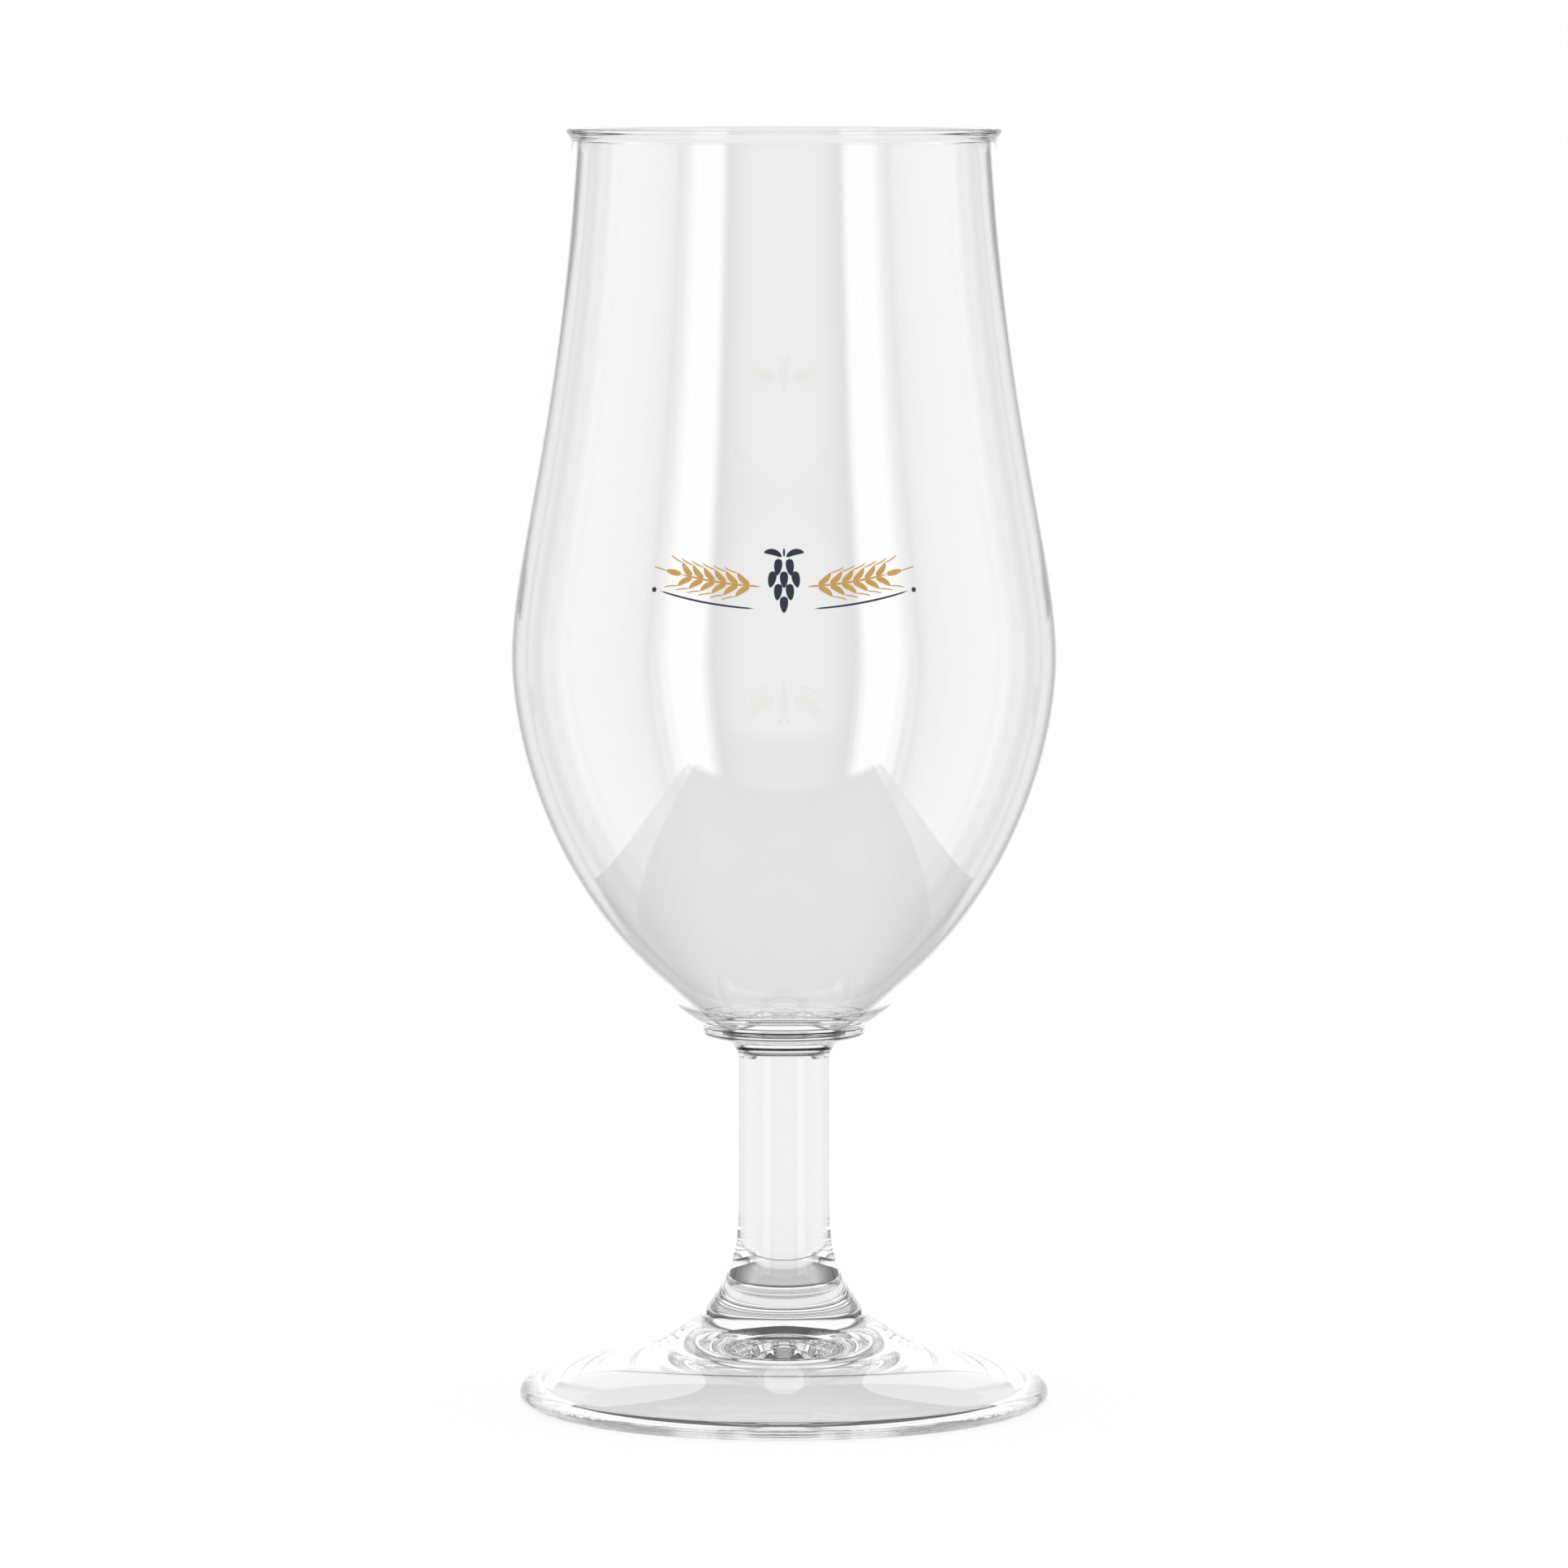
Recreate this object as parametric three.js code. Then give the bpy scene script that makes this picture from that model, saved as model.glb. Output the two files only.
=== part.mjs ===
// A stemmed tulip beer glass of clear glass, in millimetres, standing on the table plane with +Z up.
// A blown bowl, a collar, a drawn stem and a pressed foot are turned one by one and fused on flat seats.
import * as THREE from 'three';

// Foot
const footDiameter = 76;
const footEdgeThickness = 3.3;
const footEdgeSlope = 22;
const footHeight = 13.2;
const footHollowDepth = 9;
const footHollowSlope = 20;
const restingRingWidth = 2;

// Stem
const stemLength = 39.8;
const stemDiameter = 13.2;
const stemTopDiameter = 19;
const stemTopFilletLength = 5;
const stemFlareLength = 14.4;
const stemFlareDiameter = 23.6;
const stemFlareSlope = 41;

// Collar
const collarDiameter = 23.2;
const collarThickness = 1.4;

// Bowl
const bowlHeight = 128.6;
const bowlDiameter = 80;
const bellyRise = 53.1;
const bowlBaseSlope = 55;
const bowlBaseFilletRun = 0.7;
const bowlBaseFilletRise = 0.9;
const bowlBaseFilletLead = 20;
const bowlBaseFilletPull = 0.4;
const neckDiameter = 60.6;
const neckLean = 3.5;
const wallThickness = 1.1;
const floorThickness = 2.2;
const floorCornerRun = 1.4;
const floorSpotDiameter = 4.8;
const floorSpotHeight = 0.6;

// Lip
const lipHeight = 1.8;
const lipProjection = 0.74;
const lipTipRadius = 0.4;
const lipFlare = 30;
const lipInnerRounding = 0.6;

// Fullness of each curved stretch: how far it runs on along its end directions, as a share of its height,
// or of its width for the hollow and the underside of the collar
const wallFullnessAtNeck = 0.55;
const wallFullnessAboveBelly = 0.2;
const wallFullnessBelowBelly = 0.23;
const wallFullnessAtBase = 0.5;
const flareFullnessAtStem = 0.5;
const flareFullnessAtFoot = 0.28;
const filletFullnessAtStem = 0.88;
const filletFullnessAtCollar = 0.08;
const collarFullnessBelow = 0.95;
const collarFullnessAtSide = 0.76;
const footFullnessAtBoss = 0.65;
const footFullnessAtEdge = 0.8;
const hollowFullnessAtMiddle = 0.15;
const hollowFullnessAtRing = 0.5;

// Faces round one turn, and steps along the curved stretches
const turnSteps = 48;
const wallSteps = 10;
const flareSteps = 7;
const footSteps = 8;
const roundingSteps = 4;

// Heights of the seats above the table
const collarSeat = footHeight + stemLength;
const bowlSeat = collarSeat + collarThickness;
const rimHeight = bowlSeat + bowlHeight;

// A point of an outline, by its distance from the axis and its height above the table.
function at(radius, height) {
  return new THREE.Vector2(radius, height);
}

// A step of some length that leans away from upright by an angle in degrees, outward when positive.
function lean(angle, length) {
  const turn = THREE.MathUtils.degToRad(angle);
  return new THREE.Vector2(Math.sin(turn), Math.cos(turn)).multiplyScalar(length);
}

// A smooth stretch that leaves its first point along one step and reaches its last point along another.
function flow(start, leaving, arriving, end) {
  return new THREE.CubicBezierCurve(start, start.clone().add(leaving), end.clone().sub(arriving), end);
}

// Part of a circle about a centre, between two angles in degrees from the outward level direction.
function rounding(center, radius, from, to) {
  const [start, end] = [from, to].map(THREE.MathUtils.degToRad);
  const arc = new THREE.EllipseCurve(center.x, center.y, radius, radius, start, end, to < from);
  return arc.getPoints(roundingSteps);
}

// Points at an even depth on the left of a curve, from its start to its end.
function inset(curve, depth, steps) {
  return Array.from({ length: steps + 1 }, (_, step) => {
    const along = curve.getTangent(step / steps);
    return curve.getPoint(step / steps).add(at(-along.y, along.x).multiplyScalar(depth));
  });
}

// The point where a falling run of points passes a height.
function crossing(points, height) {
  const below = points.findIndex((point) => point.y < height);
  const [high, low] = [points[below - 1], points[below]];
  return high.clone().lerp(low, (high.y - height) / (high.y - low.y));
}

// A clear glass solid turned about the upright axis from its outline, drawn from below outward and up.
function turned(name, outline) {
  const glass = new THREE.MeshStandardMaterial({
    color: 0xf1f3f3,
    roughness: 0.02,
    metalness: 0,
    transparent: true,
    opacity: 0.3,
  });
  const geometry = new THREE.LatheGeometry(outline, turnSteps);
  geometry.rotateX(Math.PI / 2);
  const piece = new THREE.Mesh(geometry, glass);
  piece.name = name;
  return piece;
}

// The foot: a hollowed underside, a flat resting ring, a rounded edge and a top that sweeps up to the boss.
function makeFoot() {
  const edgeRadius = footEdgeThickness / 2;
  const edgeCenter = at(footDiameter / 2 - edgeRadius, edgeRadius);
  const ringInside = edgeCenter.x - restingRingWidth;
  const edge = [
    ...rounding(edgeCenter, edgeRadius, -90, 0),
    ...rounding(edgeCenter, edgeRadius, 0, 90 - footEdgeSlope).slice(1),
  ];
  const boss = at(stemFlareDiameter / 2, footHeight);
  const edgeTop = edge.at(-1);
  const rise = footHeight - edgeTop.y;
  const hollow = flow(
    at(0, footHollowDepth),
    at(ringInside * hollowFullnessAtMiddle, 0),
    lean(90 + footHollowSlope, ringInside * hollowFullnessAtRing),
    at(ringInside, 0),
  );
  const top = flow(
    edgeTop,
    lean(footEdgeSlope - 90, rise * footFullnessAtEdge),
    lean(-stemFlareSlope, rise * footFullnessAtBoss),
    boss,
  );
  return turned('foot', [
    ...hollow.getPoints(footSteps),
    ...edge,
    ...top.getPoints(footSteps).slice(1),
    at(0, footHeight),
  ]);
}

// The stem: a flare that carries on the foot's sweep, a straight column and a fillet under the collar.
function makeStem() {
  const radius = stemDiameter / 2;
  const flare = flow(
    at(stemFlareDiameter / 2, footHeight),
    lean(-stemFlareSlope, stemFlareLength * flareFullnessAtFoot),
    at(0, stemFlareLength * flareFullnessAtStem),
    at(radius, footHeight + stemFlareLength),
  );
  const seat = at(stemTopDiameter / 2, collarSeat);
  const fillet = flow(
    at(radius, collarSeat - stemTopFilletLength),
    at(0, stemTopFilletLength * filletFullnessAtStem),
    at(stemTopFilletLength * filletFullnessAtCollar, 0),
    seat,
  );
  return turned('stem', [
    at(0, footHeight),
    ...flare.getPoints(flareSteps),
    ...fillet.getPoints(flareSteps),
    at(0, collarSeat),
  ]);
}

// The collar: a flat disc with its lower edge fully rounded.
function makeCollar() {
  const stemSeat = at(stemTopDiameter / 2, collarSeat);
  const side = at(collarDiameter / 2, bowlSeat);
  const edge = flow(
    stemSeat,
    at((side.x - stemSeat.x) * collarFullnessBelow, 0),
    at(0, collarThickness * collarFullnessAtSide),
    side,
  );
  return turned('collar', [
    at(0, collarSeat),
    ...edge.getPoints(roundingSteps),
    at(0, bowlSeat),
  ]);
}

// The bowl: a small fillet on the collar, an even wall out to the belly and in to the neck, a beaded lip.
function makeBowl() {
  const belly = at(bowlDiameter / 2, bowlSeat + bellyRise);
  const neck = at(neckDiameter / 2, rimHeight - lipHeight);
  const wallRise = neck.y - belly.y;
  const base = at(collarDiameter / 2, bowlSeat);
  const wallStart = at(base.x + bowlBaseFilletRun, base.y + bowlBaseFilletRise);
  const fillet = flow(
    base,
    lean(bowlBaseFilletLead, bowlBaseFilletPull),
    lean(bowlBaseSlope, bowlBaseFilletPull),
    wallStart,
  );
  const lower = flow(
    wallStart,
    lean(bowlBaseSlope, bellyRise * wallFullnessAtBase),
    at(0, bellyRise * wallFullnessBelowBelly),
    belly,
  );
  const upper = flow(
    belly,
    at(0, wallRise * wallFullnessAboveBelly),
    lean(-neckLean, wallRise * wallFullnessAtNeck),
    neck,
  );
  const tipCenter = at(neck.x + lipProjection - lipTipRadius, rimHeight - lipTipRadius);
  const boreRadius = neck.x - wallThickness;
  const mouthCenter = at(boreRadius + lipInnerRounding, rimHeight - lipInnerRounding);
  const floorHeight = bowlSeat + floorThickness;
  const inside = [
    ...inset(upper, wallThickness, wallSteps).reverse(),
    ...inset(lower, wallThickness, wallSteps).reverse().slice(1),
  ];
  const cornerTop = crossing(inside, floorHeight + floorCornerRun);
  const corner = crossing(inside, floorHeight);
  const floorStart = at(corner.x - floorCornerRun, floorHeight);
  const spotRadius = floorSpotDiameter / 2;
  const floorSpot = new THREE.EllipseCurve(0, floorHeight, spotRadius, floorSpotHeight, 0, Math.PI / 2);
  return turned('bowl', [
    at(0, bowlSeat),
    ...fillet.getPoints(roundingSteps),
    ...lower.getPoints(wallSteps).slice(1),
    ...upper.getPoints(wallSteps).slice(1),
    ...rounding(tipCenter, lipTipRadius, -lipFlare, 90),
    ...rounding(mouthCenter, lipInnerRounding, 90, 180),
    ...inside.filter((point) => point.y > cornerTop.y),
    ...new THREE.QuadraticBezierCurve(cornerTop, corner, floorStart).getPoints(roundingSteps),
    ...floorSpot.getPoints(roundingSteps),
  ]);
}

const beerGlass = new THREE.Group();
beerGlass.add(makeFoot(), makeStem(), makeCollar(), makeBowl());

export default beerGlass;
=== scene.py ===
"""A stemmed tulip beer glass of clear glass, standing on a white table in soft studio light.

The bowl, collar, stem and foot are turned surfaces in metres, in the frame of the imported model, +Z up.
Where two pieces are fused, their touching faces let light straight through, as melted glass does. A small
fired print of barley and hops stands on the bowl's front.
"""

import logging
import math
from dataclasses import astuple, dataclass, field, replace
from enum import IntEnum
from typing import Any

import bpy
import numpy as np
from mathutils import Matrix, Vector
from numpy.typing import NDArray


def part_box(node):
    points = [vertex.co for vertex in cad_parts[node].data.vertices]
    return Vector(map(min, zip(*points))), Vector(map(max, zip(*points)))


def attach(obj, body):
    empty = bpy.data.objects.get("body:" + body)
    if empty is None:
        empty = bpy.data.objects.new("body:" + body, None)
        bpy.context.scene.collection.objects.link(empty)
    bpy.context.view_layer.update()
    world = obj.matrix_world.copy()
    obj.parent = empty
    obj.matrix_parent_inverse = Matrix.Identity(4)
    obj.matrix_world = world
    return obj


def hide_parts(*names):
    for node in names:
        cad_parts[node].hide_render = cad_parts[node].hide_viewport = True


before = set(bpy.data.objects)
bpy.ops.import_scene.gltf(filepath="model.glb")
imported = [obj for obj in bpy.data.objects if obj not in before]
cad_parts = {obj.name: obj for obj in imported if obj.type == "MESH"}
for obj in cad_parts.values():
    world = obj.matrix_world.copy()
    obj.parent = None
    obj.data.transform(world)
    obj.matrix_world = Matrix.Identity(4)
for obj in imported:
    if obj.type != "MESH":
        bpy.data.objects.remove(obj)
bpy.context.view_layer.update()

Array = NDArray[np.float64]
LOG = logging.getLogger("beer_glass")
MM = 0.001
IMAGE_PIXELS = 1932
LIGHT_BOUNCES = 32
CREASE_ANGLE = 12.0
WHITE = (1.0, 1.0, 1.0, 1.0)
HALF_TURN = 180.0

# Where pieces meet: the sweep's slope at the foot's seam in degrees, and the stem's seat in millimetres
SWEEP_SLOPE = 41.0
STEM_SEAT_RADIUS = 9.5

# Faces round one turn, and steps along each kind of stretch of an outline
TURN_STEPS = 240
CURVE_STEPS = 64
EDGE_STEPS = 24
FILLET_STEPS = 12
FLAT_STEPS = 4

# Light Path's Glossy Depth counts mirrorings, so light that was mirrored at least once is above this
MIRRORED = 0.5

# How white the table and the room look through the glass
BEHIND_LEVEL = 0.925


class Skin(IntEnum):
    """Which finish a stretch of an outline gets: its place in the piece's material list."""

    GLASS = 0
    SEAM = 1


def linear(hex_color: str) -> tuple[float, float, float, float]:
    """Turns an sRGB hex colour into linear light.

    Args:
        hex_color: six hex digits, such as "f4f5f5".

    Returns:
        Linear red, green, blue and an alpha of 1.
    """
    values = np.array([int(hex_color[i:i + 2], 16) for i in (0, 2, 4)]) / 255.0
    light = np.where(values <= 0.04045, values / 12.92, ((values + 0.055) / 1.055) ** 2.4)
    return (*light.tolist(), 1.0)


def add_node(
    tree: bpy.types.NodeTree,
    kind: str,
    inputs: dict[Any, Any] | None = None,
    **settings: Any,
) -> bpy.types.Node:
    """Adds a node with its settings, and links or sets its inputs.

    Args:
        tree: the node tree that gets the node.
        kind: the node's type name.
        inputs: for each input name or number, a value, or an output socket to link from.
        settings: the node's own properties.

    Returns:
        The new node.
    """
    node = tree.nodes.new(kind)
    for name, value in settings.items():
        setattr(node, name, value)
    for key, value in (inputs or {}).items():
        if isinstance(value, bpy.types.NodeSocket):
            tree.links.new(value, node.inputs[key])
        else:
            node.inputs[key].default_value = value
    return node


def blank_material(name: str) -> bpy.types.Material:
    """Makes a material whose node tree is empty.

    Args:
        name: the new material's name.

    Returns:
        The new material.
    """
    material = bpy.data.materials.new(name)
    material.use_nodes = True
    material.node_tree.nodes.clear()
    return material


def new_object(name: str, corners: Array, faces: list[list[int]]) -> bpy.types.Object:
    """Makes a mesh object and puts it in the scene.

    Args:
        name: the new object's name, and its mesh's.
        corners: the corner points in metres, one in each row.
        faces: for each face, the numbers of its corners, counter-clockwise seen from outside.

    Returns:
        The new object.
    """
    mesh = bpy.data.meshes.new(name)
    mesh.from_pydata(corners.tolist(), [], faces)
    mesh.update()
    made = bpy.data.objects.new(name, mesh)
    bpy.context.scene.collection.objects.link(made)
    return made


def at(radius: float, height: float) -> Array:
    """Gives an outline point from its distance to the axis and its height, in millimetres."""
    return np.array([radius, height], dtype=float)


def lean(angle: float, length: float) -> Array:
    """Gives a step of some length that leans from upright by an angle in degrees, outward when positive."""
    turn = math.radians(angle)
    return at(math.sin(turn), math.cos(turn)) * length


def flow(start: Array, leaving: Array, arriving: Array, end: Array, steps: int) -> Array:
    """Draws a smooth stretch: the cubic (1-t)^3 a + 3t(1-t)^2 b + 3t^2(1-t) c + t^3 d.

    Args:
        start: the first point, a.
        leaving: the step from a to the pull point b.
        arriving: the step from the pull point c to d.
        end: the last point, d.
        steps: how many pieces the stretch is cut into.

    Returns:
        The points in order, both ends included.
    """
    t = np.linspace(0.0, 1.0, steps + 1)[:, None]
    near = start + leaving
    far = end - arriving
    return (1 - t) ** 3 * start + 3 * t * (1 - t) ** 2 * near + 3 * t ** 2 * (1 - t) * far + t ** 3 * end


def rounding(center: Array, radius: float, start: float, end: float, steps: int) -> Array:
    """Draws part of a circle: center + radius (cos a, sin a), for a from start to end in degrees.

    Args:
        center: the circle's centre.
        radius: the circle's radius.
        start: the first angle, from the outward level direction.
        end: the last angle.
        steps: how many pieces the arc is cut into.

    Returns:
        The points in order, both ends included.
    """
    angle = np.radians(np.linspace(start, end, steps + 1))
    return center + radius * np.stack([np.cos(angle), np.sin(angle)], axis=1)


def inset(points: Array, depth: float) -> Array:
    """Moves a run of points to its left by an even depth: point + depth times its tangent's unit normal.

    Args:
        points: the run, in order.
        depth: how far it moves.

    Returns:
        The moved points, in the same order.
    """
    along = np.gradient(points, axis=0)
    along /= np.linalg.norm(along, axis=1, keepdims=True)
    return points + depth * np.stack([-along[:, 1], along[:, 0]], axis=1)


def turned(name: str, stretches: list[tuple[Skin, Array]]) -> bpy.types.Object:
    """Carries an outline round the upright axis: (r, z) at turn angle a becomes (r cos a, r sin a, z).

    The outline runs from the axis below, outward and up, and back to the axis, so its faces point out. Its
    first and last points are single points on the axis, which close the surface.

    Args:
        name: the new object's name.
        stretches: the outline in millimetres, each stretch with its skin, from where the last one ended.

    Returns:
        The new object, with smooth faces and its material numbers set.
    """
    outline = np.concatenate([stretches[0][1]] + [points[1:] for _, points in stretches[1:]]) * MM
    skins = np.concatenate([np.full(len(points) - 1, skin, dtype=np.int32) for skin, points in stretches])
    angle = np.arange(TURN_STEPS) * (2 * math.pi / TURN_STEPS)
    inner = outline[1:-1]
    rings = np.stack([
        inner[:, :1] * np.cos(angle),
        inner[:, :1] * np.sin(angle),
        np.repeat(inner[:, 1:], TURN_STEPS, axis=1),
    ], axis=2).reshape(-1, 3)
    poles = np.array([[0.0, 0.0, outline[0, 1]], [0.0, 0.0, outline[-1, 1]]])
    turn = np.arange(TURN_STEPS)
    onward = np.roll(turn, -1)
    first = np.arange(len(inner) - 1)[:, None] * TURN_STEPS
    above = first + TURN_STEPS
    quads = np.stack([first + turn, first + onward, above + onward, above + turn], axis=2)
    low_pole = len(rings)
    last = (len(inner) - 1) * TURN_STEPS
    low_fan = np.stack([np.full(TURN_STEPS, low_pole), onward, turn], axis=1)
    high_fan = np.stack([last + turn, last + onward, np.full(TURN_STEPS, low_pole + 1)], axis=1)
    faces = low_fan.tolist() + quads.reshape(-1, 4).tolist() + high_fan.tolist()
    piece = new_object(name, np.concatenate([rings, poles]), faces)
    mesh = piece.data
    mesh.polygons.foreach_set("material_index", np.repeat(skins, TURN_STEPS))
    mesh.polygons.foreach_set("use_smooth", np.ones(len(faces), dtype=bool))
    mesh.set_sharp_from_angle(angle=math.radians(CREASE_ANGLE))
    mesh.update()
    return piece


@dataclass(frozen=True)
class ClearGlass:
    """Fire-polished soda-lime glass: colourless and mirror smooth, so only its edges and reflections show.

    Hand and mould leave a faint slow waviness, which bends the reflections a little. Pressing leaves shorter
    waves.
    """

    name: str
    tint: str = "fbfbfb"
    ior: float = 1.52
    roughness: float = 0.0
    wave_mm: float = 24.0
    wave_depth_mm: float = 0.004
    wave_detail: float = 1.0

    def material(self) -> bpy.types.Material:
        """Makes the glass with its waviness.

        Returns:
            The new material.
        """
        material = blank_material(self.name)
        tree = material.node_tree
        place = add_node(tree, "ShaderNodeTexCoord")
        waves = add_node(
            tree, "ShaderNodeTexNoise",
            {
                "Vector": place.outputs["Object"],
                "Scale": 1.0 / (self.wave_mm * MM),
                "Detail": self.wave_detail,
            },
        )
        bump = add_node(
            tree, "ShaderNodeBump",
            {"Height": waves.outputs[0], "Strength": 1.0, "Distance": self.wave_depth_mm * MM},
        )
        glass = add_node(tree, "ShaderNodeBsdfPrincipled", {
            "Base Color": linear(self.tint),
            "Roughness": self.roughness,
            "IOR": self.ior,
            "Transmission Weight": 1.0,
            "Normal": bump.outputs["Normal"],
        })
        add_node(tree, "ShaderNodeOutputMaterial", {"Surface": glass.outputs["BSDF"]})
        return material


@dataclass(frozen=True)
class FusedSeam:
    """Where two pieces were melted together there is no surface, so light goes straight through."""

    name: str

    def material(self) -> bpy.types.Material:
        """Makes the seam's clear material.

        Returns:
            The new material.
        """
        material = blank_material(self.name)
        tree = material.node_tree
        clear = add_node(tree, "ShaderNodeBsdfTransparent", {"Color": WHITE})
        add_node(tree, "ShaderNodeOutputMaterial", {"Surface": clear.outputs["BSDF"]})
        return material


@dataclass
class TurnedPiece:
    """One turned piece of the glass, which stands for a CAD node and takes its outer sizes from its box.

    Lengths are in millimetres and slopes in degrees. Fields such as flare_at_foot or hollow_edge say how far
    a stretch runs on along its direction at that end, as a share of its height or width.
    """

    node: str
    low: Array = field(init=False)
    high: Array = field(init=False)
    piece: bpy.types.Object = field(init=False)

    def __post_init__(self) -> None:
        """Reads the node's corners, in millimetres."""
        low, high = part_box(self.node)
        self.low = np.array(low) / MM
        self.high = np.array(high) / MM

    @property
    def radius(self) -> float:
        """The node's largest distance from the axis."""
        return float(self.high[0])

    @property
    def base(self) -> float:
        """The height of the node's underside."""
        return float(self.low[2])

    @property
    def top(self) -> float:
        """The height of the node's top."""
        return float(self.high[2])

    def stretches(self) -> list[tuple[Skin, Array]]:
        """Gives the outline; each piece has its own."""
        raise NotImplementedError

    def build(self) -> None:
        """Turns the outline and lets it stand for the CAD node."""
        self.piece = turned(f"{self.node}_glass", self.stretches())
        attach(self.piece, "root")
        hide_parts(self.node)

    def dress(self, glass: bpy.types.Material, seam: bpy.types.Material) -> None:
        """Puts the glass on the open faces and the seam on the fused ones.

        Args:
            glass: the finish of the open faces.
            seam: the finish of the fused faces.
        """
        self.piece.data.materials.append(glass)
        self.piece.data.materials.append(seam)


@dataclass
class Foot(TurnedPiece):
    """The pressed foot: a hollowed underside, a flat resting ring, a rounded edge and a sweeping top."""

    node: str = "foot"
    edge_thickness: float = 3.3
    edge_slope: float = 22.0
    hollow_depth: float = 9.0
    hollow_slope: float = 35.0
    hollow_middle: float = 0.15
    hollow_edge: float = 0.2
    ring_width: float = 2.0
    ring_fillet: float = 0.8
    ring_fillet_pull: float = 0.6
    boss_radius: float = 11.8
    boss_slope: float = SWEEP_SLOPE
    sweep_at_edge: float = 0.8
    sweep_at_boss: float = 0.65

    def stretches(self) -> list[tuple[Skin, Array]]:
        """Draws the outline from the hollow's middle, round the edge and up to the boss.

        Returns:
            The outline's stretches with their skins.
        """
        edge_radius = self.edge_thickness / 2
        edge_center = at(self.radius - edge_radius, edge_radius)
        ring_inside = edge_center[0] - self.ring_width
        edge = rounding(edge_center, edge_radius, -90.0, 90.0 - self.edge_slope, EDGE_STEPS)
        rise = self.top - edge[-1, 1]
        ring_corner = at(ring_inside, 0)
        hollow_end = ring_corner - lean(90.0 + self.hollow_slope, self.ring_fillet)
        ring_start = ring_corner + at(self.ring_fillet, 0)
        hollow = flow(
            at(0, self.hollow_depth),
            at(ring_inside * self.hollow_middle, 0),
            lean(90.0 + self.hollow_slope, ring_inside * self.hollow_edge),
            hollow_end,
            CURVE_STEPS,
        )
        fillet = flow(
            hollow_end,
            (ring_corner - hollow_end) * self.ring_fillet_pull,
            (ring_start - ring_corner) * self.ring_fillet_pull,
            ring_start,
            FILLET_STEPS,
        )
        boss = at(self.boss_radius, self.top)
        sweep = flow(
            edge[-1],
            lean(self.edge_slope - 90.0, rise * self.sweep_at_edge),
            lean(-self.boss_slope, rise * self.sweep_at_boss),
            boss,
            CURVE_STEPS,
        )
        return [
            (Skin.GLASS, hollow),
            (Skin.GLASS, fillet),
            (Skin.GLASS, np.linspace(ring_start, edge[0], FLAT_STEPS)),
            (Skin.GLASS, edge),
            (Skin.GLASS, sweep),
            (Skin.SEAM, np.stack([boss, at(0, self.top)])),
        ]


@dataclass
class Stem(TurnedPiece):
    """The drawn stem: a flare that carries on the foot's sweep, a column, and a fillet under the collar."""

    node: str = "stem"
    column_radius: float = 6.6
    flare_length: float = 14.4
    flare_slope: float = SWEEP_SLOPE
    flare_at_foot: float = 0.28
    flare_at_column: float = 0.5
    fillet_length: float = 3.2
    fillet_at_column: float = 0.8
    fillet_at_seat: float = 0.08
    seat_radius: float = STEM_SEAT_RADIUS

    def stretches(self) -> list[tuple[Skin, Array]]:
        """Draws the outline from the foot's boss up to the collar.

        Returns:
            The outline's stretches with their skins.
        """
        start = at(self.radius, self.base)
        flare = flow(
            start,
            lean(-self.flare_slope, self.flare_length * self.flare_at_foot),
            at(0, self.flare_length * self.flare_at_column),
            at(self.column_radius, self.base + self.flare_length),
            CURVE_STEPS,
        )
        seat = at(self.seat_radius, self.top)
        fillet = flow(
            at(self.column_radius, self.top - self.fillet_length),
            at(0, self.fillet_length * self.fillet_at_column),
            at(self.fillet_length * self.fillet_at_seat, 0),
            seat,
            CURVE_STEPS,
        )
        column = np.linspace(flare[-1], fillet[0], FLAT_STEPS)
        return [
            (Skin.SEAM, np.stack([at(0, self.base), start])),
            (Skin.GLASS, flare),
            (Skin.GLASS, column),
            (Skin.GLASS, fillet),
            (Skin.SEAM, np.stack([seat, at(0, self.top)])),
        ]


@dataclass
class Collar(TurnedPiece):
    """The collar: a flat disc between stem and bowl with its lower edge fully rounded."""

    node: str = "collar"
    stem_seat_radius: float = STEM_SEAT_RADIUS
    edge_out: float = 0.95
    edge_up: float = 0.76

    def stretches(self) -> list[tuple[Skin, Array]]:
        """Draws the outline from the stem's seat, round the edge and up to the bowl's seat.

        Returns:
            The outline's stretches with their skins.
        """
        rim = at(self.radius, self.top)
        stem_seat = at(self.stem_seat_radius, self.base)
        out, up = rim - stem_seat
        edge = flow(stem_seat, at(out * self.edge_out, 0), at(0, up * self.edge_up), rim, EDGE_STEPS)
        return [
            (Skin.SEAM, np.stack([at(0, self.base), stem_seat])),
            (Skin.GLASS, edge),
            (Skin.SEAM, np.stack([rim, at(0, self.top)])),
        ]


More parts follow.
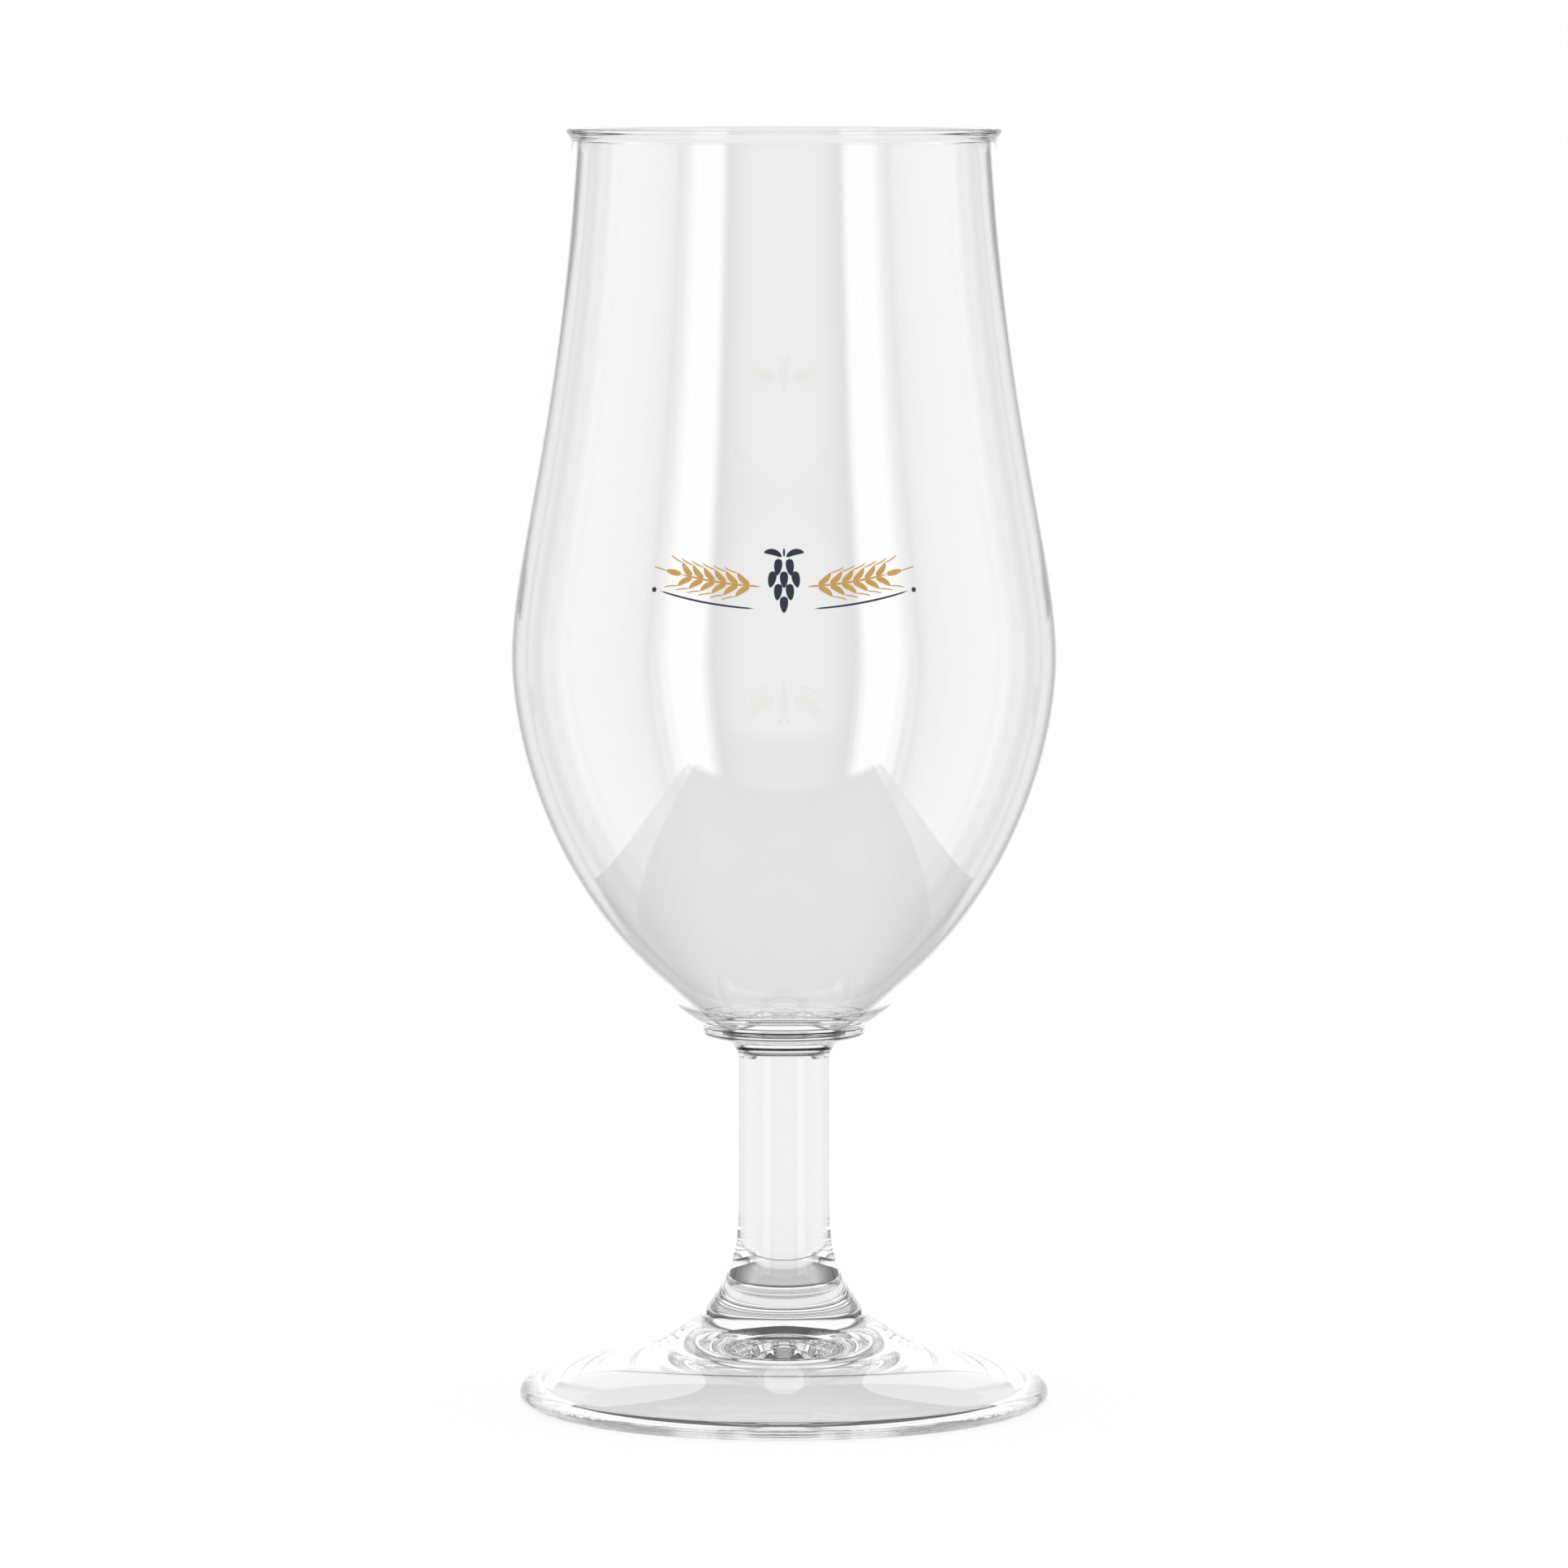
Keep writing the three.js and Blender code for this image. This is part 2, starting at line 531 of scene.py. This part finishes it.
@dataclass
class Bowl(TurnedPiece):
    """The blown bowl: a thick base, an even wall out to the belly and in to the neck, and a beaded lip."""

    node: str = "bowl"
    base_radius: float = 11.6
    base_slope: float = 55.0
    base_fillet_run: float = 0.7
    base_fillet_rise: float = 0.9
    base_fillet_lead: float = 20.0
    base_fillet_pull: float = 0.4
    belly_rise: float = 53.1
    neck_radius: float = 30.3
    neck_lean: float = 3.5
    wall: float = 1.1
    wall_at_base: float = 0.5
    wall_below_belly: float = 0.23
    wall_above_belly: float = 0.2
    wall_at_neck: float = 0.55
    floor_thickness: float = 2.2
    floor_corner: float = 1.4
    floor_corner_pull: float = 0.66
    spot_radius: float = 2.4
    spot_height: float = 0.6
    lip_height: float = 1.8
    lip_projection: float = 0.74
    lip_tip_radius: float = 0.4
    lip_flare: float = 30.0
    lip_fillet: float = 0.3
    lip_inner_rounding: float = 0.6

    def wall_outline(self) -> tuple[Array, Array]:
        """Draws the outside from the collar to the neck.

        Returns:
            The small fillet on the collar, and the wall above it, each in order upward.
        """
        belly = at(self.radius, self.base + self.belly_rise)
        neck = at(self.neck_radius, self.top - self.lip_height)
        rise = neck[1] - belly[1]
        start = at(self.base_radius, self.base)
        wall_start = start + at(self.base_fillet_run, self.base_fillet_rise)
        fillet = flow(
            start,
            lean(self.base_fillet_lead, self.base_fillet_pull),
            lean(self.base_slope, self.base_fillet_pull),
            wall_start,
            FILLET_STEPS,
        )
        lower = flow(
            wall_start,
            lean(self.base_slope, self.belly_rise * self.wall_at_base),
            at(0, self.belly_rise * self.wall_below_belly),
            belly,
            CURVE_STEPS,
        )
        upper = flow(
            belly,
            at(0, rise * self.wall_above_belly),
            lean(-self.neck_lean, rise * self.wall_at_neck),
            neck,
            CURVE_STEPS,
        )
        return fillet, np.concatenate([lower, upper[1:]])

    def stretches(self) -> list[tuple[Skin, Array]]:
        """Draws the outline from the base, up the outside, over the lip and down the inside to the floor.

        Returns:
            The outline's stretches with their skins.
        """
        fillet, outside = self.wall_outline()
        floor = self.base + self.floor_thickness
        inside = inset(outside, self.wall)[::-1]
        lip_radius = self.neck_radius + self.lip_projection
        tip_center = at(lip_radius - self.lip_tip_radius, self.top - self.lip_tip_radius)
        tip = rounding(tip_center, self.lip_tip_radius, -self.lip_flare, 90.0, EDGE_STEPS)
        lip_under = flow(
            outside[-1],
            lean(-self.neck_lean, self.lip_fillet),
            lean(self.lip_flare, self.lip_fillet),
            tip[0],
            FILLET_STEPS,
        )
        mouth_center = at(inside[0, 0] + self.lip_inner_rounding, self.top - self.lip_inner_rounding)
        mouth = rounding(mouth_center, self.lip_inner_rounding, 90.0, 180.0, EDGE_STEPS)
        falling = inside[::-1]
        corner = at(np.interp(floor, falling[:, 1], falling[:, 0]), floor)
        above = inside[inside[:, 1] > floor + self.floor_corner]
        floor_start = at(corner[0] - self.floor_corner, floor)
        turn = flow(
            above[-1],
            (corner - above[-1]) * self.floor_corner_pull,
            (floor_start - corner) * self.floor_corner_pull,
            floor_start,
            FILLET_STEPS,
        )
        angle = np.linspace(0.0, math.pi / 2, EDGE_STEPS)
        spot = np.stack([self.spot_radius * np.cos(angle), floor + self.spot_height * np.sin(angle)], axis=1)
        spot[-1, 0] = 0.0
        return [
            (Skin.SEAM, np.stack([at(0, self.base), fillet[0]])),
            (Skin.GLASS, fillet),
            (Skin.GLASS, outside),
            (Skin.GLASS, lip_under),
            (Skin.GLASS, tip),
            (Skin.GLASS, np.linspace(tip[-1], mouth[0], FLAT_STEPS)),
            (Skin.GLASS, mouth),
            (Skin.GLASS, np.stack([mouth[-1], above[0]])),
            (Skin.GLASS, above),
            (Skin.GLASS, turn),
            (Skin.GLASS, np.linspace(floor_start, spot[0], FLAT_STEPS)),
            (Skin.GLASS, spot),
        ]


@dataclass(frozen=True)
class FiredEnamel:
    """Screen-printed ceramic enamel, fired into the glass: opaque, satin and a little uneven.

    Its clouds are the thin and thick places of the pull. Its grit is ten times coarser than the real powder,
    so that it shows.
    """

    name: str
    thick: str
    thin: str
    roughness: float = 0.4
    cloud_mm: float = 1.6
    cloud_detail: float = 3.0
    grit_mm: float = 0.2
    grit_depth_mm: float = 0.006

    def material(self) -> bpy.types.Material:
        """Makes the enamel with its clouds and grit.

        Returns:
            The new material.
        """
        material = blank_material(self.name)
        tree = material.node_tree
        place = add_node(tree, "ShaderNodeTexCoord").outputs["Object"]
        clouds = add_node(
            tree, "ShaderNodeTexNoise",
            {"Vector": place, "Scale": 1.0 / (self.cloud_mm * MM), "Detail": self.cloud_detail},
        )
        color = add_node(
            tree, "ShaderNodeMix",
            {"Factor": clouds.outputs[0], "A": linear(self.thick), "B": linear(self.thin)},
            data_type="RGBA",
        )
        grit = add_node(tree, "ShaderNodeTexNoise", {"Vector": place, "Scale": 1.0 / (self.grit_mm * MM)})
        bump = add_node(
            tree, "ShaderNodeBump",
            {"Height": grit.outputs[0], "Strength": 1.0, "Distance": self.grit_depth_mm * MM},
        )
        enamel = add_node(tree, "ShaderNodeBsdfPrincipled", {
            "Base Color": color.outputs["Result"],
            "Roughness": self.roughness,
            "Normal": bump.outputs["Normal"],
        })
        add_node(tree, "ShaderNodeOutputMaterial", {"Surface": enamel.outputs["BSDF"]})
        return material


@dataclass(frozen=True)
class Stroke:
    """One pointed stroke on the bowl's front, in millimetres round it and up it from the print's middle.

    It starts at a point, heads off at an angle in degrees from level, and swings aside at its middle by its
    bend, a share of its length. It is widest at a share of its length. A fullness of one half is an oval,
    and of one a slim leaf.
    """

    across: float
    up: float
    heading: float
    length: float
    width: float
    bend: float = 0.0
    fullness: float = 0.5
    widest: float = 0.5

    def mirrored(self) -> "Stroke":
        """Gives the stroke's twin on the other side of the middle."""
        return replace(self, across=-self.across, heading=HALF_TURN - self.heading, bend=-self.bend)


@dataclass
class FrontPrint:
    """The fired print on the front: a hop cone between two lying ears of barley, a fine line below each."""

    bowl: Bowl
    height: float = 120.8
    lift: float = 0.012
    coat: float = 0.03
    hair: float = 0.02
    stroke_steps: int = 16
    ear_start: float = 4.8
    ear_low: float = -0.9
    ear_curl: float = 0.0075
    ear_pairs: int = 6
    pair_step: float = 1.65
    grain_length: float = 2.35
    grain_width: float = 0.8
    grain_root: float = 0.25
    grain_tilt: float = 38.0
    grain_bend: float = -0.08
    grain_fullness: float = 0.65
    grain_widest: float = 0.42
    awn_length: float = 2.0
    awn_width: float = 0.18
    awn_tilt: float = 17.0
    awn_bend: float = -0.04
    line_fullness: float = 0.2
    stalk_start: float = 3.2
    stalk_width: float = 0.3
    cone_top: float = 3.0
    cone_rows: tuple[int, ...] = (2, 3, 2, 1)
    cone_row_step: float = 1.72
    petal_length: float = 2.3
    petal_width: float = 1.15
    petal_step: float = 1.46
    petal_spread: float = 11.0
    petal_fullness: float = 0.6
    petal_widest: float = 0.36
    leaf_length: float = 2.6
    leaf_width: float = 0.85
    leaf_heading: float = 14.0
    leaf_bend: float = 0.12
    line_start: float = 4.2
    line_end: float = 17.6
    line_drop: float = 3.1
    line_width: float = 0.28
    dot: float = 0.7
    pieces: list[bpy.types.Object] = field(init=False, default_factory=list)

    def ear_height(self, across: float) -> float:
        """Gives the height of an ear's stalk: ear_low + ear_curl times the distance across, squared."""
        return self.ear_low + self.ear_curl * across ** 2

    def ear_slope(self, across: float) -> float:
        """Gives the stalk's slope in degrees."""
        return math.degrees(math.atan(2 * self.ear_curl * across))

    def curled(self, start: float, end: float, drop: float, width: float) -> Stroke:
        """Draws a fine stroke along an ear's curl, bent by a parabola's sag: curl / 4 times its run squared.

        Args:
            start: where it starts, across from the middle.
            end: where it ends.
            drop: how far it runs below the stalk.
            width: its width at its middle.

        Returns:
            The stroke on the right-hand side.
        """
        run = end - start
        rise = self.ear_height(end) - self.ear_height(start)
        length = math.hypot(run, rise)
        sag = self.ear_curl * run ** 2 / 4
        heading = math.degrees(math.atan2(rise, run))
        base = self.ear_height(start) - drop
        return Stroke(start, base, heading, length, width, -sag / length, self.line_fullness)

    def ear(self) -> list[Stroke]:
        """Draws the right-hand ear: pairs of grains along a stalk, each with an awn, and one at the tip.

        Returns:
            The ear's strokes.
        """
        tip = self.ear_start + self.ear_pairs * self.pair_step
        strokes = [self.curled(self.stalk_start, tip, 0.0, self.stalk_width)]
        places = self.ear_start + self.pair_step * np.arange(self.ear_pairs)
        spots = [(place, tilt) for place in places for tilt in (-1, 1)]
        for across, tilt in spots + [(tip, 0)]:
            slope = self.ear_slope(across)
            heading = slope + tilt * self.grain_tilt
            root = at(across, self.ear_height(across) + tilt * self.grain_width * self.grain_root)
            strokes.append(Stroke(
                *root,
                heading,
                self.grain_length,
                self.grain_width,
                tilt * self.grain_bend,
                self.grain_fullness,
                self.grain_widest,
            ))
            strokes.append(Stroke(
                *(root + lean(90.0 - heading, self.grain_length)),
                slope + tilt * self.awn_tilt,
                self.awn_length,
                self.awn_width,
                tilt * self.awn_bend,
                self.line_fullness,
            ))
        return strokes

    def cone(self) -> list[Stroke]:
        """Draws the hop cone: rows of petals that hang down and spread, under two leaves on a stalk.

        Returns:
            The cone's strokes.
        """
        leaf_base = self.cone_top + self.stalk_width
        leaf = Stroke(
            self.stalk_width,
            leaf_base,
            self.leaf_heading,
            self.leaf_length,
            self.leaf_width,
            self.leaf_bend,
        )
        stalk = Stroke(0.0, leaf_base, 90.0, self.petal_width, self.stalk_width)
        strokes = [stalk, leaf, leaf.mirrored()]
        for row, count in enumerate(self.cone_rows):
            for place in np.arange(count) - (count - 1) / 2:
                strokes.append(Stroke(
                    place * self.petal_step,
                    self.cone_top - row * self.cone_row_step,
                    place * self.petal_spread - 90.0,
                    self.petal_length,
                    self.petal_width,
                    fullness=self.petal_fullness,
                    widest=self.petal_widest,
                ))
        return strokes

    def painted(self, name: str, strokes: list[Stroke]) -> bpy.types.Object:
        """Lays strokes on the bowl as flat-topped strips, all in one object.

        A stroke's middle line is start + length (s d + 4s(1-s) bend n), for s from 0 to 1, with d along its
        heading and n to its left. Its half width is width / 2 times 4t(1-t) to the power of its fullness, and
        at least a hair, with t the power of s that is one half where the stroke is widest. A point at
        (across, up) goes to the turn angle across / radius, out at the bowl's radius at that height.

        Args:
            name: the new object's name.
            strokes: the strokes, in any order.

        Returns:
            The new object, closed and facing outward.
        """
        rows = np.array([astuple(stroke) for stroke in strokes]).T[:, :, None]
        across, up, heading, length, width, bend, fullness, widest = rows
        along = np.linspace(0.0, 1.0, self.stroke_steps + 1)
        swell = 4 * along * (1 - along)
        cos, sin = np.cos(np.radians(heading)), np.sin(np.radians(heading))
        paced = along ** (math.log(0.5) / np.log(widest))
        breadth = width / 2 * (4 * paced * (1 - paced)) ** fullness
        # A strip's four corners: which side each is on, and whether on the strip's back or its face
        sideways = np.array([-1, 1, 1, -1])
        outward = np.array([0, 0, 1, 1])
        half = np.maximum(breadth, self.hair)[..., None] * sideways
        middle_across = across + length * (along * cos - swell * bend * sin)
        middle_up = up + length * (along * sin + swell * bend * cos)
        corner_across = middle_across[..., None] - half * sin[..., None]
        corner_up = middle_up[..., None] + half * cos[..., None]
        wall = self.bowl.wall_outline()[1]
        level = self.height + corner_up
        radius = np.interp(level, wall[:, 1], wall[:, 0]) + (self.lift + self.coat * outward)
        turn = corner_across / np.interp(self.height, wall[:, 1], wall[:, 0])
        corners = np.stack([radius * np.sin(turn), -radius * np.cos(turn), level], axis=-1) * MM
        corner = np.arange(len(sideways))
        onward = np.roll(corner, -1)
        rings = np.arange(len(strokes) * len(along)).reshape(len(strokes), -1, 1) * len(corner)
        near, far = rings[:, :-1], rings[:, 1:]
        sides = np.stack([near + corner, near + onward, far + onward, far + corner], axis=-1).reshape(-1, 4)
        caps = np.concatenate([rings[:, 0] + corner[::-1], rings[:, -1] + corner])
        piece = new_object(name, corners.reshape(-1, 3), np.concatenate([sides, caps]).tolist())
        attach(piece, "root")
        return piece

    def build(self) -> None:
        """Paints the ears in one piece, and the cone with the lines in another."""
        ear = self.ear()
        line = [self.curled(self.line_start, self.line_end, self.line_drop, self.line_width)]
        end = self.line_end + self.dot
        line.append(Stroke(end, self.ear_height(end) - self.line_drop, 0.0, self.dot, self.dot))
        ears = ear + [stroke.mirrored() for stroke in ear]
        cone = self.cone() + line + [stroke.mirrored() for stroke in line]
        self.pieces = [self.painted("print_barley", ears), self.painted("print_hops", cone)]

    def dress(self, *enamels: bpy.types.Material) -> None:
        """Gives each painted piece its enamel, in order."""
        for piece, enamel in zip(self.pieces, enamels):
            piece.data.materials.append(enamel)


@dataclass(frozen=True)
class WallLight:
    """A lit stretch of the walls: its ends in degrees round from the camera's side, each with its level."""

    start: float
    end: float
    start_level: float
    end_level: float


@dataclass(frozen=True)
class WhiteLaminate:
    """The table's matt laminate: plain white to the eye, and a little dimmer through the glass.

    Light that the glass has mirrored goes through it, so reflections show the room.
    """

    name: str
    white: float = 1.01
    shade: float = 0.1

    def material(self) -> bpy.types.Material:
        """Makes the laminate: a faint matt shade that keeps the shadow, and a glow that makes up its white.

        Returns:
            The new material.
        """
        material = blank_material(self.name)
        tree = material.node_tree
        path = add_node(tree, "ShaderNodeLightPath")
        mirrored = add_node(
            tree, "ShaderNodeMath", {0: path.outputs["Glossy Depth"], 1: MIRRORED}, operation="GREATER_THAN",
        )
        eye_glow = self.white - BEHIND_LEVEL
        behind_glow = BEHIND_LEVEL - self.shade
        seen = add_node(
            tree, "ShaderNodeMath",
            {0: path.outputs["Is Camera Ray"], 1: eye_glow, 2: behind_glow},
            operation="MULTIPLY_ADD",
        )
        matt = add_node(tree, "ShaderNodeBsdfDiffuse", {"Color": (*[self.shade] * 3, 1.0)})
        glow = add_node(tree, "ShaderNodeEmission", {"Color": WHITE, "Strength": seen.outputs[0]})
        white = add_node(tree, "ShaderNodeAddShader", {0: matt.outputs[0], 1: glow.outputs[0]})
        clear = add_node(tree, "ShaderNodeBsdfTransparent", {"Color": WHITE})
        mix = add_node(
            tree, "ShaderNodeMixShader",
            {0: mirrored.outputs[0], 1: white.outputs[0], 2: clear.outputs[0]},
        )
        add_node(tree, "ShaderNodeOutputMaterial", {"Surface": mix.outputs[0]})
        return material


@dataclass(frozen=True)
class Studio:
    """A white table in a square room with lit walls and a dimmer ceiling and ground.

    The eye sees the table and the room as plain white. The glass shows the table and the room a little
    dimmer behind it, and the lit stretches of the walls and the lit panel in the ceiling in its reflections.
    A dark gap low down on each far side draws a fine line inside the edge of the neck.

    Table and camera are placed in metres. In the room, a turn is in degrees round from the camera's side, a
    rise is a direction's height over its reach to the walls, and a level of 1 is white.
    """

    # Table top
    floor_radius: float = 3.0
    floor_sides: int = 96
    floor_drop: float = 0.0001

    # Camera
    camera_pitch: float = 4.72
    camera_distance: float = 1.2965
    aim_height: float = 0.0893
    pixels_per_lens: float = 11150.0
    sensor_mm: float = 36.0

    # Ceiling, with a lit panel toward its back, and the ground below the table
    ceiling_level: float = 0.1
    panel_rise: float = 2.0
    panel_back: float = 0.3
    panel_level: float = 0.9
    ground_lean: float = 0.6
    ground_start: float = 0.7
    ground_full: float = 2.1
    ground_least: float = 0.14
    ground_level: float = 0.6

    # Walls: their rise, the dimmer upper and lower part of the front ones, the gaps and the lit stretches
    wall_rise: float = 0.767
    inner_rise: float = 0.445
    outer_turn: float = 31.2
    outer_loss: float = 0.34
    gap_turn: float = 145.5
    gap_spread: float = 3.5
    gap_rise: float = 0.05
    wall_lights: tuple[WallLight, ...] = (
        WallLight(0.0, 15.0, 0.84, 0.80),
        WallLight(21.0, 31.4, 0.66, 0.12),
        WallLight(31.7, 33.5, 0.90, 0.90),
        WallLight(33.8, 51.2, 1.80, 1.80),
        WallLight(51.5, 56.2, 1.08, 1.05),
        WallLight(56.7, 58.0, 0.35, 0.40),
        WallLight(61.5, 67.0, 0.82, 1.00),
        WallLight(75.0, 104.0, 1.22, 1.28),
        WallLight(107.0, 110.0, 0.93, 0.93),
        WallLight(113.0, 116.5, 1.14, 1.05),
        WallLight(120.5, 125.5, 0.46, 0.48),
        WallLight(130.5, 146.0, 0.88, 0.62),
        WallLight(147.3, 151.3, 0.20, 0.22),
        WallLight(154.0, 180.0, 1.12, 1.05),
    )

    def lay_floor(self, laminate: bpy.types.Material) -> None:
        """Lays the table top: a disc a hair below the resting ring, as only a film of air parts the two.

        Args:
            laminate: the table top's finish.
        """
        angle = np.linspace(0.0, 2 * math.pi, self.floor_sides, endpoint=False)
        across, along = self.floor_radius * np.cos(angle), self.floor_radius * np.sin(angle)
        ring = np.stack([across, along, np.full_like(angle, -self.floor_drop)], axis=1)
        floor = new_object("table_top", ring, [list(range(len(ring)))])
        floor.data.materials.append(laminate)

    def room_sums(self) -> tuple[tuple[Any, ...], ...]:
        """Gives the sums that sort a direction into walls, ceiling and ground.

        A direction's reach is the larger of its two level parts, as in a square room. Its slope is its rise
        without sign.

        Returns:
            The sums in order, each with its result's name, its operation, and the names or numbers in it.
        """
        return (
            ("front", "MULTIPLY", "y", -1.0),
            ("bearing", "ARCTAN2", "x", "front"),
            ("turn", "ABSOLUTE", "bearing"),
            ("half_turns", "DIVIDE", "turn", math.pi),
            ("across", "ABSOLUTE", "x"),
            ("along", "ABSOLUTE", "y"),
            ("reach", "MAXIMUM", "across", "along"),
            ("rise", "DIVIDE", "z", "reach"),
            ("slope", "ABSOLUTE", "rise"),
            ("is_outer", "GREATER_THAN", "slope", self.inner_rise),
            ("is_front", "LESS_THAN", "turn", math.radians(self.outer_turn)),
            ("outer_front", "MULTIPLY", "is_outer", "is_front"),
            ("kept", "MULTIPLY_ADD", "outer_front", -self.outer_loss, 1.0),
            ("lit", "MULTIPLY", "walls", "kept"),
            ("at_gap", "COMPARE", "turn", math.radians(self.gap_turn), math.radians(self.gap_spread)),
            ("low_down", "COMPARE", "rise", self.gap_rise / 2, self.gap_rise / 2),
            ("gap", "MULTIPLY", "at_gap", "low_down"),
            ("beside_gap", "SUBTRACT", 1.0, "gap"),
            ("wall", "MULTIPLY", "lit", "beside_gap"),
            ("wall_behind", "MINIMUM", "wall", BEHIND_LEVEL),
            ("back", "DIVIDE", "y", "z"),
            ("is_overhead", "GREATER_THAN", "slope", self.panel_rise),
            ("is_back", "GREATER_THAN", "back", self.panel_back),
            ("is_panel", "MULTIPLY", "is_overhead", "is_back"),
            ("frontness", "COSINE", "turn"),
            ("leaned_slope", "MULTIPLY_ADD", "frontness", self.ground_lean, "slope"),
            ("is_above", "GREATER_THAN", "z", 0.0),
            ("is_wall", "LESS_THAN", "slope", self.wall_rise),
            ("is_mirrored", "GREATER_THAN", "mirrorings", MIRRORED),
            ("is_plain", "MAXIMUM", "is_eye", "is_diffuse"),
        )

    def light_world(self) -> None:
        """Lights the room by direction: white to the eye, and the lit walls in and through the glass."""
        world = bpy.data.worlds.new("white_studio")
        bpy.context.scene.world = world
        world.use_nodes = True
        tree = world.node_tree
        tree.nodes.clear()
        path = add_node(tree, "ShaderNodeLightPath")
        place = add_node(tree, "ShaderNodeTexCoord")
        axes = add_node(tree, "ShaderNodeSeparateXYZ", {0: place.outputs["Generated"]})
        walls = add_node(tree, "ShaderNodeValToRGB")
        stops = [(light.start, light.start_level) for light in self.wall_lights]
        stops += [(light.end, light.end_level) for light in self.wall_lights]
        ramp = walls.color_ramp
        while len(ramp.elements) < len(stops):
            ramp.elements.new(1.0)
        for element, (turned_by, level) in zip(ramp.elements, sorted(stops)):
            element.position = turned_by / HALF_TURN
            element.color = (level, level, level, 1.0)
        found: dict[Any, Any] = {
            "x": axes.outputs["X"],
            "y": axes.outputs["Y"],
            "z": axes.outputs["Z"],
            "walls": walls.outputs[0],
            "is_eye": path.outputs["Is Camera Ray"],
            "is_diffuse": path.outputs["Is Diffuse Ray"],
            "mirrorings": path.outputs["Glossy Depth"],
        }
        for name, operation, *values in self.room_sums():
            inputs = {slot: found.get(value, value) for slot, value in enumerate(values)}
            found[name] = add_node(tree, "ShaderNodeMath", inputs, operation=operation).outputs[0]
        tree.links.new(found["half_turns"], walls.inputs[0])
        ground = add_node(
            tree, "ShaderNodeMapRange",
            {
                "Value": found["leaned_slope"],
                "From Min": self.ground_start,
                "From Max": self.ground_full,
                "To Min": self.ground_least,
                "To Max": self.ground_level,
            },
            interpolation_type="SMOOTHSTEP",
        )
        found["ground"] = ground.outputs[0]
        for name, *values in (
            ("shown", "is_mirrored", "wall_behind", "wall"),
            ("ceiling", "is_panel", self.ceiling_level, self.panel_level),
            ("far", "is_above", "ground", "ceiling"),
            ("room", "is_wall", "far", "shown"),
            ("seen", "is_plain", "room", 1.0),
        ):
            inputs = {slot: found.get(value, value) for slot, value in zip(("Factor", "A", "B"), values)}
            found[name] = add_node(tree, "ShaderNodeMix", inputs).outputs[0]
        light = add_node(tree, "ShaderNodeBackground", {"Color": WHITE, "Strength": found["seen"]})
        add_node(tree, "ShaderNodeOutputWorld", {"Surface": light.outputs[0]})

    def place_camera(self) -> None:
        """Stands the camera before the glass, a little above its rim, looking slightly down."""
        pitch = math.radians(self.camera_pitch)
        aim = Vector((0.0, 0.0, self.aim_height))
        back = Vector((0.0, -math.cos(pitch), math.sin(pitch)))
        data = bpy.data.cameras.new("front_camera")
        data.sensor_width = self.sensor_mm
        data.lens = self.sensor_mm * self.pixels_per_lens / IMAGE_PIXELS
        camera = bpy.data.objects.new("front_camera", data)
        camera.location = aim + back * self.camera_distance
        camera.rotation_euler = (-back).to_track_quat("-Z", "Y").to_euler()
        bpy.context.scene.collection.objects.link(camera)
        bpy.context.scene.camera = camera


def follow_light_through_glass(bounces: int) -> None:
    """Lets light go back and forth inside thick glass often enough that no black patches are left in it.

    Args:
        bounces: how many times a path of light may turn.
    """
    cycles = bpy.context.scene.cycles
    cycles.max_bounces = bounces
    cycles.glossy_bounces = bounces
    cycles.transmission_bounces = bounces
    cycles.transparent_max_bounces = bounces


def main() -> None:
    """Builds and dresses each piece in order, then the studio."""
    logging.basicConfig(level=logging.INFO, format="%(name)s: %(message)s")
    bpy.context.scene.view_settings.view_transform = "Standard"
    follow_light_through_glass(LIGHT_BOUNCES)
    seam = FusedSeam("fused_glass_seam").material()
    blown = ClearGlass("blown_soda_lime_glass").material()
    pressed = ClearGlass("pressed_soda_lime_glass", wave_mm=16.0).material()
    bowl = Bowl()
    for part, glass in ((Foot(), pressed), (Stem(), pressed), (Collar(), pressed), (bowl, blown)):
        part.build()
        part.dress(glass, seam)
        LOG.info("%s: %d faces", part.piece.name, len(part.piece.data.polygons))
    gold = FiredEnamel("gold_ceramic_enamel", thick="bf9247", thin="d2a85f").material()
    navy = FiredEnamel("navy_ceramic_enamel", thick="191e31", thin="272d45").material()
    front = FrontPrint(bowl)
    front.build()
    front.dress(gold, navy)
    for piece in front.pieces:
        LOG.info("%s: %d faces", piece.name, len(piece.data.polygons))
    studio = Studio()
    studio.lay_floor(WhiteLaminate("white_table_laminate").material())
    studio.light_world()
    studio.place_camera()


if __name__ == "__main__":
    main()
